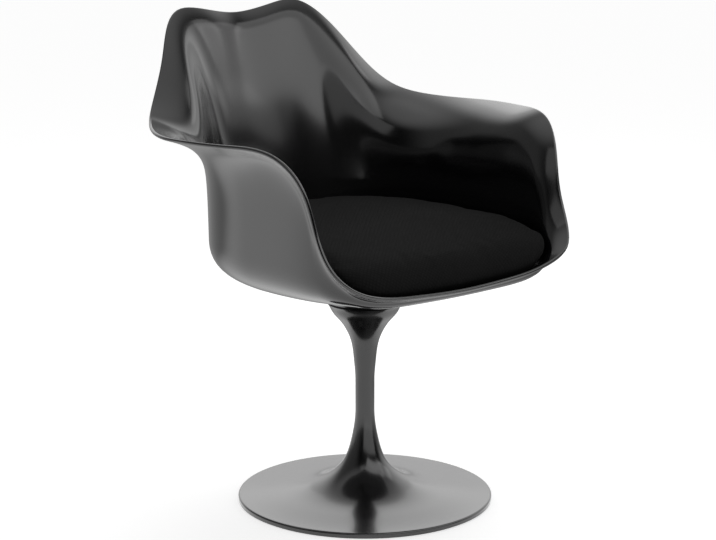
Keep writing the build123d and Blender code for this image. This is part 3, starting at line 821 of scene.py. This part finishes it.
@dataclass
class SeatCushion:
    """Loose cushion: a fabric cover over foam, with a base panel and a zip at the rear."""

    form: ShellForm = field(default_factory=ShellForm)
    shell_wall: float = 6.5
    gap: float = 4.5
    base: float = 371.0
    base_rise: float = 1.0
    base_radius: float = 74.0
    edge_top: float = 125.0
    front_top: float = 110.0
    edge_inset: float = 11.0
    front_inset: float = 32.0
    front: float = 237.0
    squareness: float = 7.0
    wall_rise: float = 6.0
    wall_top: float = 92.0
    girth_rise: float = 8.0
    girth_front: float = 60.0
    crown: float = 136.0
    start_inset: float = 4.0
    base_shares: tuple[float, ...] = (0.0, 0.35, 0.7, 1.0)
    pan_shares: tuple[float, ...] = (0.3, 0.45, 0.6, 0.78)
    wall_shares: tuple[float, ...] = (0.0, 0.33, 0.67, 1.0)
    crown_shares: tuple[float, ...] = (0.9, 0.8, 0.65, 0.5, 0.35, 0.2, 0.1, 0.0)
    edge_steps: int = 8
    lines: int = 160
    voxel: float = 5.0
    relax_factor: float = 0.5
    relax_rounds: int = 4
    swell: float = 6.0
    least_swell: float = 0.08
    frames: int = 20
    cloth: dict[str, float] = field(default_factory=lambda: {
        "quality": 5, "mass": 0.3, "tension_stiffness": 15.0, "compression_stiffness": 15.0,
        "bending_stiffness": 2.0, "use_pressure": True, "uniform_pressure_force": 4.0})
    crease_angle: float = 60.0
    panel_radius: float = 70.0
    panel_thickness: float = 1.4
    panel_corners: int = 96
    hem_rise: float = 0.4
    hem_insets: tuple[Pair, ...] = ((1.0, 1.0), (3.0, 0.0), (1.0, -1.0), (30.0, 0.0))
    zip_length: float = 220.0
    zip_width: float = 14.0
    zip_height: float = 436.0
    tape_thickness: float = 0.8
    tape_cells: tuple[int, int] = (88, 6)
    slider: Triple = (9.0, 1.6, 6.0)
    slider_round: float = 0.5
    slider_step: float = 3.0
    rear_start: float = 400.0

    def rings(self) -> Array:
        """Points of the plump form before it swells, from the base's centre to the crown's.

        Returns:
            Points by ring and line.
        """
        lines = self.form.meridians(self.lines)
        front_height = self.form.stations[-1][2] - self.form.pan_start_height
        front = (1 - lines.tall) / math.exp(-front_height / self.form.heel_fade)
        off = self.shell_wall / 2 + self.gap + self.start_inset / 2
        base = self.base + self.base_rise - self.form.seat_plane
        top_share = self.wall_share(lines)
        flat = [lines.level(self.base_radius * share, base) for share in self.base_shares]
        flat += [self.clear_of_shell(lines.pan, np.full_like(top_share, share), off)
                 for share in self.pan_shares]
        flat += [self.clear_of_shell(lines.wall, top_share * share, off)
                 for share in self.wall_shares]
        girth = flat[-1][:, 0]
        girth_height = flat[-1][:, 1] + self.girth_rise
        draw_in = self.edge_inset + (self.front_inset - self.edge_inset) * front
        top = self.edge_top + (self.front_top - self.edge_top) * front - self.start_inset
        for k in range(self.edge_steps + 1):
            roll = math.pi / 2 * k / self.edge_steps
            flat.append(np.stack([girth - draw_in * (1 - math.cos(roll)),
                                  girth_height + (top - girth_height) * math.sin(roll)], axis=-1))
        for share in self.crown_shares:
            height = top + (self.crown - self.start_inset - top) * (1 - share ** 2)
            flat.append(np.stack([(girth - draw_in) * share, height], axis=-1))
        return np.stack([lines.place(pair) for pair in flat])

    def wall_share(self, lines: Meridians) -> Array:
        """How far up the wall the underside goes, which is furthest at the front corners.

        Args:
            lines: The shell's meridian lines.

        Returns:
            A share of the wall for each line.
        """
        reach = lines.squared_oval(self.front, self.squareness)
        least = self.wall_rise / lines.wall_height
        most = (self.wall_top - lines.heel_height) / lines.wall_height
        low = np.zeros_like(reach)
        high = np.ones_like(reach)
        for _ in range(HALVINGS):
            middle = (low + high) / 2
            inside = lines.wall(middle)[:, 0] < reach
            low = np.where(inside, middle, low)
            high = np.where(inside, high, middle)
        return np.maximum(least, np.minimum(low, most))

    @staticmethod
    def clear_of_shell(line: Callable[[Array], Array], share: Array, off: float) -> Array:
        """Radius and height at a distance inside the shell's middle line.

        Args:
            line: The pan or the wall.
            share: Place along it on each line.
            off: The distance.

        Returns:
            One pair each.
        """
        here = line(share)
        ahead = line(share + SHARE_STEP) - here
        normal = np.stack([-ahead[:, 1], ahead[:, 0]], axis=-1)
        return here + unit(normal) * off

    def form_mesh(self) -> Object:
        """A grid rolled up into the closed form and remeshed evenly.

        Returns:
            The cushion before its cloth is blown up.
        """
        rings = self.rings()
        rings = np.concatenate([rings, rings[:, :1]], axis=1)
        start_clean()
        bpy.ops.mesh.primitive_grid_add(x_subdivisions=rings.shape[1] - 1,
                                        y_subdivisions=rings.shape[0] - 1)
        piece = bpy.context.object
        set_points(piece, rings)
        close_up(piece)
        modify(piece, "REMESH", mode="VOXEL", voxel_size=self.voxel * MM)
        modify(piece, "SMOOTH", factor=self.relax_factor, iterations=self.relax_rounds)
        return piece

    def blow_up(self, piece: Object) -> None:
        """Swells the cover as cloth under pressure, and holds each point within its room.

        Args:
            piece: The even mesh.
        """
        before = get_points(piece)
        cloth = piece.modifiers.new("cover_cloth", "CLOTH")
        for name, value in self.cloth.items():
            setattr(cloth.settings, name, value)
        cloth.settings.effector_weights.gravity = 0
        cloth.point_cache.frame_start = 1
        cloth.point_cache.frame_end = self.frames
        scene = bpy.context.scene
        for number in range(1, self.frames + 1):
            scene.frame_set(number)
        apply_modifier(piece, "cover_cloth")
        scene.frame_set(1)
        move = get_points(piece) - before
        length = np.linalg.norm(move, axis=1)
        above = before[:, 2] - self.form.seat_plane - self.girth_front
        height = above / (self.edge_top - self.girth_front)
        room = self.swell * np.clip(height, self.least_swell, 1.0)
        share = np.minimum(1.0, room / np.maximum(length, LEAST_LENGTH))
        set_points(piece, before + move * share[:, None])

    def fabric_map(self, piece: Object) -> None:
        """Lays the weave over the crown and down the sides.

        Args:
            piece: The finished cover.
        """
        points = get_points(piece)
        radius = np.hypot(points[:, 0], points[:, 1])
        reach = radius + points[:, 2].max() - points[:, 2]
        stretch = reach / np.maximum(radius, LEAST_RADIUS)
        lay_weave(piece, points[:, :2] * stretch[:, None])

    def build(self) -> None:
        """Makes the cover, then its base panel and zip."""
        piece = self.form_mesh()
        self.blow_up(piece)
        modify(piece, "SUBSURF", levels=1, render_levels=1)
        self.fabric_map(piece)
        settle(piece, "seat_cushion", CUSHION_FABRIC, "cushion_fabric", "cushion",
               "cushion_cover", "cushion_foam", crease=self.crease_angle)
        self.base_panel()
        self.zip_pieces(piece)

    def base_panel(self) -> None:
        """Flat cloth panel under the cushion, with a raised hem."""
        start_clean()
        bpy.ops.mesh.primitive_circle_add(vertices=self.panel_corners, fill_type="NGON",
                                          radius=self.panel_radius * MM)
        piece = bpy.context.object
        with editing(piece):
            for width, share in self.hem_insets:
                bpy.ops.mesh.inset(thickness=width * MM, depth=share * self.hem_rise * MM)
        points = get_points(piece)
        points[:, 2] = self.base + self.hem_rise - points[:, 2]
        set_points(piece, points)
        modify(piece, "SOLIDIFY", thickness=self.panel_thickness * MM, offset=-1.0)
        close_up(piece)
        points = get_points(piece)
        points[:, 2] += self.base - points[:, 2].min()
        set_points(piece, points)
        lay_weave(piece, points[:, :2])
        settle(piece, "cushion_base_panel", BASE_CLOTH, "base_cloth", "cushion", "cover_base")

    def zip_pieces(self, cover: Object) -> None:
        """Zip tape that follows the cover's rear side, and its slider.

        Args:
            cover: The finished cover.
        """
        tree = BVHTree.FromPolygons([v.co.copy() for v in cover.data.vertices],
                                    [tuple(p.vertices) for p in cover.data.polygons])
        start_clean()
        bpy.ops.mesh.primitive_grid_add(x_subdivisions=self.tape_cells[0],
                                        y_subdivisions=self.tape_cells[1])
        piece = bpy.context.object
        points = get_points(piece) * MM
        points[:, 0] *= self.zip_length / 2
        points[:, 1] *= self.zip_width / 2
        lay_weave(piece, points[:, :2])
        proud = self.tape_thickness / 2
        placed = [self.on_rear(tree, x, self.zip_height + z, proud) for x, z, _ in points]
        set_points(piece, np.array(placed))
        modify(piece, "SOLIDIFY", thickness=self.tape_thickness * MM, offset=0.0)
        close_up(piece)
        settle(piece, "cover_zip_tape", ZIP_TAPE, "zip_tape", "cushion", "cover_zip")
        self.zip_slider(tree)

    def on_rear(self, tree: BVHTree, x: float, z: float, proud: float) -> Array:
        """The place on the cover's rear side at a width and height.

        Args:
            tree: The cover's faces.
            x: Place across the cushion.
            z: Height over the floor.
            proud: How far off the cloth.

        Returns:
            The point in millimetres.
        """
        start = Vector((x * MM, self.rear_start * MM, z * MM))
        hit, normal, _, _ = tree.ray_cast(start, Vector((0, -1, 0)))
        return np.array(hit + normal * proud * MM) / MM

    def zip_slider(self, tree: BVHTree) -> None:
        """The zip's slider, a rounded block at the tape's end.

        Args:
            tree: The cover's faces.
        """
        side = self.zip_length / 2 - self.slider[0]
        proud = self.tape_thickness + self.slider[1] / 2
        seat = self.on_rear(tree, side, self.zip_height, proud)
        near = self.on_rear(tree, side - self.slider_step, self.zip_height, proud)
        start_clean()
        bpy.ops.mesh.primitive_cube_add(size=1.0)
        piece = bpy.context.object
        with editing(piece):
            bpy.ops.transform.resize(value=tuple(size * MM for size in self.slider))
            bpy.ops.mesh.bevel(offset=self.slider_round * MM, segments=2)
        points = get_points(piece)
        lean = math.atan2(seat[1] - near[1], seat[0] - near[0])
        ahead, aside = math.cos(lean), math.sin(lean)
        turn = np.array([[ahead, aside, 0], [-aside, ahead, 0], [0, 0, 1]])
        set_points(piece, points @ turn + seat)
        settle(piece, "zip_slider_body", ZIP_METAL, "zip_metal", "cushion", "zip_slider")


@dataclass
class InnerPieces:
    """The pieces that keep their solid shape and only get their finish."""

    finishes: dict[Finish, tuple[str, ...]] = field(default_factory=lambda: {
        RUBBER: ("floor_ring", "hub_gasket"), BRASS: ("bearing_cage",),
        TURNED_STEEL: ("swivel_post", "bearing_lower_race", "bearing_upper_race",
                       "retaining_washer", "retaining_screw", "shell_washers"),
        BALL_STEEL: ("bearing_balls",), ACETAL: ("lower_bush", "upper_bush"),
        BLACK_STEEL: ("shell_screws",), HOOK_TAPE: ("hook_patches",), LOOP_TAPE: ("loop_patches",)})

    def dress(self) -> None:
        """Gives every piece the material of its finish."""
        for finish, names in self.finishes.items():
            material = finish.build()
            for name in names:
                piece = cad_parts[name]
                piece.data.materials.clear()
                piece.data.materials.append(material)
                LOG.info("%s: %s", name, finish.name)


class Shows(Enum):
    """Which surfaces a lamp shows on: the others are flagged off from it."""

    GLOSS = "gloss"
    MATT = "matt"


@dataclass
class SoftBox:
    """One large soft lamp."""

    name: str
    place: Triple
    aim: Triple
    width: float
    height: float
    radiance: float
    shows: Shows = Shows.GLOSS

    def build(self) -> None:
        """Hangs the lamp."""
        data = bpy.data.lights.new(self.name, "AREA")
        data.shape = "RECTANGLE"
        data.size = self.width
        data.size_y = self.height
        data.energy = self.radiance * math.pi * self.width * self.height
        lamp = bpy.data.objects.new(self.name, data)
        bpy.context.scene.collection.objects.link(lamp)
        lamp.location = self.place
        toward = Vector(self.aim) - Vector(self.place)
        lamp.rotation_euler = toward.to_track_quat("-Z", "Y").to_euler()
        lamp.visible_camera = False
        lamp.visible_diffuse = self.shows == Shows.MATT
        lamp.visible_glossy = self.shows == Shows.GLOSS


@dataclass
class Studio:
    """White floor and surround, soft lamps and the camera."""

    camera_place: Triple = (-2.3649, -2.8184, 1.2355)
    camera_azimuth: float = -39.817
    camera_pitch: float = 12.83
    focal_pixels: float = 2259.0
    image_width: float = 716.0
    sensor: float = 36.0
    floor_size: float = 24.0
    floor_colour: str = "#e6e6e6"
    floor_glow: float = 0.66
    floor_near: float = 1.0
    floor_far: float = 0.3
    floor_fall: Pair = (0.0, 0.7)
    fill: float = 0.4
    backdrop_side: Triple = (0.82, 0.57, 0.0)
    backdrop_edge: Pair = (0.3, 0.75)
    backdrop_top: Pair = (0.55, 0.85)
    horizon: float = 0.55
    horizon_rise: Pair = (0.0, 0.27)
    front_dark: float = 0.02
    rear_dark: float = 0.2
    front_to_rear: Pair = (-0.3, 0.3)
    ceiling: float = 0.75
    ceiling_edge: Pair = (0.62, 0.97)
    boxes: tuple[SoftBox, ...] = (
        # The light area inside the back, which is weaker at its top.
        SoftBox("front_soft_box", (0.785, -2.517, 2.169), (0.285, -0.017, 0.299), 4.75, 1.11, 1.35),
        SoftBox("upper_soft_box", (0.664, -1.907, 3.015), (0.164, 0.593, 1.145), 4.75, 0.99, 0.9),
        # The lower left of the back's inside, and its left ear.
        SoftBox("side_soft_box", (2.23, -2.04, 1.47), (0.05, 0.3, 0.7), 2.0, 0.42, 0.6),
        SoftBox("right_soft_box", (2.75, -0.85, 2.0), (0.0, 0.2, 0.7), 1.7, 1.3, 0.7),
        # The far arm's front lip.
        SoftBox("left_soft_box", (-0.62, -0.56, 1.17), (0.25, -0.2, 0.55), 0.5, 0.56, 0.5),
        # The lower stem, and then the foot from behind.
        SoftBox("low_soft_box", (-0.15, -1.15, 0.27), (0.0, 0.0, 0.2), 2.2, 0.36, 0.8),
        SoftBox("back_soft_box", (1.55, 1.7, 1.3), (0.0, 0.0, 0.3), 1.6, 1.1, 0.38),
        # The cloth, and the chair's shadow on the floor.
        SoftBox("top_soft_box", (0.7, 0.4, 2.4), (0.1, 0, 0.5), 1.6, 1.6, 2.6, Shows.MATT),
    )

    def surround(self) -> None:
        """Fill light that is white to the camera.

        Gloss sees a white backdrop behind the chair, a dark room in front and a pale ceiling.
        """
        world = bpy.data.worlds.new("white_surround")
        bpy.context.scene.world = world
        tree = blank_tree(world)
        place = add_node(tree, "TexCoord").outputs["Generated"]
        axes = add_node(tree, "SeparateXYZ", {}, {0: place}).outputs
        toward = add_node(tree, "VectorMath", {"operation": "DOT_PRODUCT"}, {
            0: place, 1: self.backdrop_side})
        across = add_node(tree, "MapRange", SOFT_STEP, {
            "Value": toward.outputs["Value"],
            "From Min": self.backdrop_edge[0], "From Max": self.backdrop_edge[1]})
        below = add_node(tree, "MapRange", SOFT_STEP, {
            "Value": axes["Z"], "From Min": self.backdrop_top[0], "From Max": self.backdrop_top[1],
            "To Min": 1.0, "To Max": 0.0})
        sweep = add_node(tree, "Math", {"operation": "MULTIPLY"}, {
            0: across.outputs[0], 1: below.outputs[0]})
        dark = add_node(tree, "MapRange", SOFT_STEP, {
            "Value": axes["Y"],
            "From Min": self.front_to_rear[0], "From Max": self.front_to_rear[1],
            "To Min": self.front_dark, "To Max": self.rear_dark})
        room = add_node(tree, "MapRange", SOFT_STEP, {
            "Value": axes["Z"], "From Min": self.ceiling_edge[0], "From Max": self.ceiling_edge[1],
            "To Min": dark.outputs[0], "To Max": self.ceiling})
        white = add_node(tree, "MapRange", {}, {
            "Value": axes["Z"], "From Min": self.horizon_rise[0], "From Max": self.horizon_rise[1],
            "To Min": self.horizon, "To Max": 1.0})
        shown = add_node(tree, "Mix", {}, {
            0: sweep.outputs[0], 2: room.outputs[0], 3: white.outputs[0]})
        path = add_node(tree, "LightPath").outputs
        mirror = add_node(tree, "Math", {"operation": "MAXIMUM"}, {
            0: path["Is Glossy Ray"], 1: path["Is Transmission Ray"]})
        gloss = add_node(tree, "Mix", {}, {
            0: mirror.outputs[0], 2: self.fill, 3: shown.outputs[0]})
        strength = add_node(tree, "Mix", {}, {
            0: path["Is Camera Ray"], 2: gloss.outputs[0], 3: 1.0})
        back = add_node(tree, "Background", {}, {
            "Color": linear(WHITE), "Strength": strength.outputs[0]})
        add_node(tree, "OutputWorld", {}, {"Surface": back.outputs[0]})

    def floor(self) -> None:
        """Pale floor that keeps the chair's shadow, and in gloss falls off to the backdrop."""
        start_clean()
        bpy.ops.mesh.primitive_plane_add(size=self.floor_size)
        piece = bpy.context.object
        piece.name = "studio_floor"
        material = bpy.data.materials.new("white_studio_floor")
        tree = blank_tree(material)
        path = add_node(tree, "LightPath").outputs
        matt = add_node(tree, "BsdfDiffuse", {}, {"Color": linear(self.floor_colour)})
        strength = add_node(tree, "MapRange", {}, {
            "Value": path["Is Camera Ray"], "To Min": 0.0, "To Max": self.floor_glow})
        glow = add_node(tree, "Emission", {}, {
            "Color": linear(WHITE), "Strength": strength.outputs[0]})
        lit = add_node(tree, "AddShader", {}, {0: matt.outputs[0], 1: glow.outputs[0]})
        place = add_node(tree, "TexCoord").outputs["Object"]
        toward = add_node(tree, "VectorMath", {"operation": "DOT_PRODUCT"}, {
            0: place, 1: self.backdrop_side})
        fall = add_node(tree, "MapRange", SOFT_STEP, {
            "Value": toward.outputs["Value"],
            "From Min": self.floor_fall[0], "From Max": self.floor_fall[1],
            "To Min": self.floor_near, "To Max": self.floor_far})
        mirrored = add_node(tree, "Emission", {}, {
            "Color": linear(WHITE), "Strength": fall.outputs[0]})
        mirror = add_node(tree, "Math", {"operation": "MAXIMUM"}, {
            0: path["Is Glossy Ray"], 1: path["Is Transmission Ray"]})
        shown = add_node(tree, "MixShader", {}, {
            0: mirror.outputs[0], 1: lit.outputs[0], 2: mirrored.outputs[0]})
        add_node(tree, "OutputMaterial", {}, {"Surface": shown.outputs[0]})
        piece.data.materials.append(material)

    def camera(self) -> None:
        """Sets the camera at the photograph's angle."""
        data = bpy.data.cameras.new("camera")
        data.sensor_fit = "HORIZONTAL"
        data.sensor_width = self.sensor
        data.lens = self.focal_pixels * self.sensor / self.image_width
        eye = bpy.data.objects.new("camera", data)
        bpy.context.scene.collection.objects.link(eye)
        eye.location = self.camera_place
        eye.rotation_euler = (math.radians(90 - self.camera_pitch), 0,
                              math.radians(self.camera_azimuth))
        bpy.context.scene.camera = eye

    def build(self) -> None:
        """Sets up floor, surround, lamps and camera."""
        bpy.context.scene.view_settings.view_transform = "Standard"
        self.surround()
        self.floor()
        for box in self.boxes:
            box.build()
        self.camera()


def main() -> None:
    """Builds the chair's sub-assemblies in order, then the studio."""
    logging.basicConfig(level=logging.INFO, format="%(name)s: %(message)s")
    Pedestal().build()
    SeatHub().build()
    SeatShell().build()
    SeatCushion().build()
    InnerPieces().dress()
    Studio().build()


if __name__ == "__main__":
    main()
